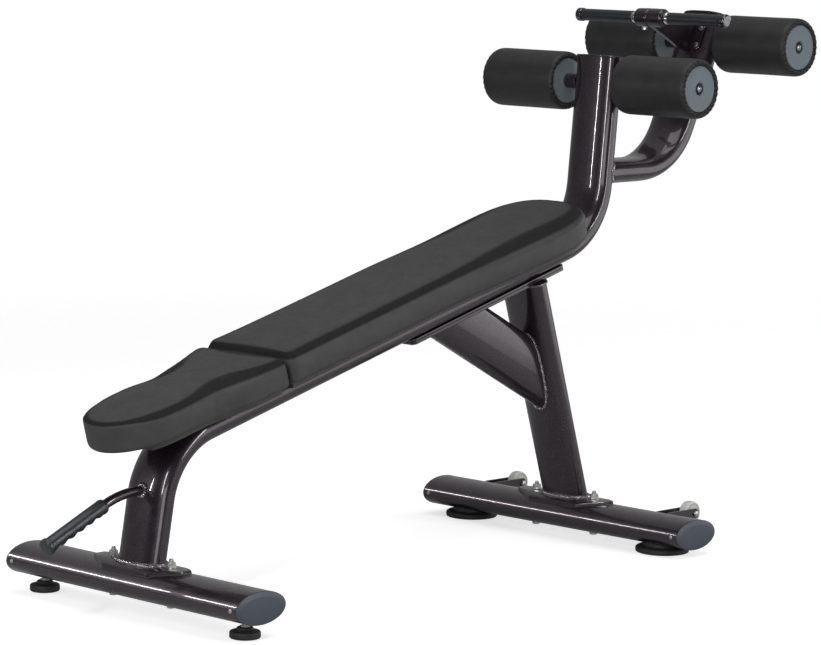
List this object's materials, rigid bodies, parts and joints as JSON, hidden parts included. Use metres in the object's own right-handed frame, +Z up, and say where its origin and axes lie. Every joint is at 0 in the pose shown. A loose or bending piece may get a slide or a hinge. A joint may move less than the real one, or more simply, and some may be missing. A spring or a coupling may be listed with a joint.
{
  "type": "decline sit-up bench",
  "caption": "Decline sit-up bench: a waisted two-part pad on a bent flat-oval frame, spinning leg rollers, a chrome pull-up bar, a carry handle and transport wheels.",
  "frame": {"origin": "on the floor under the centre of the bounding box", "axes": "+Y from the head end to the leg rollers, +X across the bench to the right of someone facing the rollers, +Z up"},
  "size_m": [0.6974, 1.8561, 1.0745],
  "materials": {
    "frame_paint": "dark aubergine-black gloss paint with a fine metallic sparkle",
    "zinc_steel": "bright zinc-plated steel",
    "cap_plastic": "dark blue-grey satin plastic",
    "foot_rubber": "matte black rubber",
    "wheel_plastic": "pale grey translucent wheel plastic",
    "roller_leather": "black synthetic leather, slightly glossy",
    "disc_plastic": "blue-grey moulded plastic",
    "grip_rubber": "bluish black moulded rubber",
    "chrome": "polished chrome",
    "pad_leather": "matte black synthetic leather",
    "board_wood": "dark stained plywood"
  },
  "bodies": {
    "frame": {"main_frame_tube": "frame_paint", "post_top_cap": "frame_paint", "rear_arm_tube": "frame_paint", "arm_top_cap": "frame_paint", "mounting_plate": "frame_paint", "joint_plate": "frame_paint", "brace_tube": "frame_paint", "rear_leg_tube": "frame_paint", "low_base_tube": "frame_paint", "rear_base_tube": "frame_paint", "low_foot_plate": "frame_paint", "rear_foot_plate": "frame_paint", "wheel_fork_left": "frame_paint", "wheel_fork_right": "frame_paint", "carry_handle_tube": "frame_paint", "assist_bar_collar": "frame_paint", "assist_handle_bracket": "frame_paint", "joint_bolt_low": "zinc_steel", "joint_bolt_high": "zinc_steel", "low_base_bolt_left": "zinc_steel", "low_base_bolt_right": "zinc_steel", "rear_base_bolt_left": "zinc_steel", "rear_base_bolt_right": "zinc_steel", "wheel_axle_left": "zinc_steel", "wheel_axle_right": "zinc_steel", "front_roller_axle": "zinc_steel", "rear_roller_axle": "zinc_steel", "front_roller_left_end_bolt": "zinc_steel", "front_roller_right_end_bolt": "zinc_steel", "rear_roller_left_end_bolt": "zinc_steel", "rear_roller_right_end_bolt": "zinc_steel", "collar_set_bolt": "zinc_steel", "low_base_cap_left": "cap_plastic", "low_base_cap_right": "cap_plastic", "rear_base_cap_left": "cap_plastic", "rear_base_cap_right": "cap_plastic", "rear_foot_left": "foot_rubber", "rear_foot_right": "foot_rubber", "carry_handle_grip": "grip_rubber", "bar_grip_left": "grip_rubber", "bar_grip_right": "grip_rubber", "assist_bar": "chrome", "bar_end_plug_left": "chrome", "bar_end_plug_right": "chrome", "back_pad": "pad_leather", "head_pad": "pad_leather", "back_pad_board": "board_wood", "head_pad_board": "board_wood"},
    "levelling_foot_left": {"levelling_foot_left": "foot_rubber"},
    "levelling_foot_right": {"levelling_foot_right": "foot_rubber"},
    "wheel_left": {"transport_wheel_left": "wheel_plastic"},
    "wheel_right": {"transport_wheel_right": "wheel_plastic"},
    "front_roller_left": {"front_roller_left_foam": "roller_leather", "front_roller_left_hub": "disc_plastic"},
    "front_roller_right": {"front_roller_right_foam": "roller_leather", "front_roller_right_hub": "disc_plastic"},
    "rear_roller_left": {"rear_roller_left_foam": "roller_leather", "rear_roller_left_hub": "disc_plastic"},
    "rear_roller_right": {"rear_roller_right_foam": "roller_leather", "rear_roller_right_hub": "disc_plastic"}
  },
  "joints": [
    {"name": "front_roller_left_spin", "type": "hinge", "parent": "frame", "child": "front_roller_left", "pos_m": [-0.17, 0.5453, 0.9253], "axis": [1, 0, 0], "continuous": true},
    {"name": "front_roller_right_spin", "type": "hinge", "parent": "frame", "child": "front_roller_right", "pos_m": [0.17, 0.5453, 0.9253], "axis": [1, 0, 0], "continuous": true},
    {"name": "rear_roller_left_spin", "type": "hinge", "parent": "frame", "child": "rear_roller_left", "pos_m": [-0.17, 0.868, 1.0008], "axis": [1, 0, 0], "continuous": true},
    {"name": "rear_roller_right_spin", "type": "hinge", "parent": "frame", "child": "rear_roller_right", "pos_m": [0.17, 0.868, 1.0008], "axis": [1, 0, 0], "continuous": true},
    {"name": "wheel_left_spin", "type": "hinge", "parent": "frame", "child": "wheel_left", "pos_m": [-0.235, 0.5864, 0.061], "axis": [1, 0, 0], "continuous": true},
    {"name": "wheel_right_spin", "type": "hinge", "parent": "frame", "child": "wheel_right", "pos_m": [0.235, 0.5864, 0.061], "axis": [1, 0, 0], "continuous": true},
    {"name": "levelling_foot_left_height", "type": "slide", "parent": "frame", "child": "levelling_foot_left", "axis": [0, 0, 1], "range_m": [-0.012, 0.006]},
    {"name": "levelling_foot_right_height", "type": "slide", "parent": "frame", "child": "levelling_foot_right", "axis": [0, 0, 1], "range_m": [-0.012, 0.006]}
  ]
}
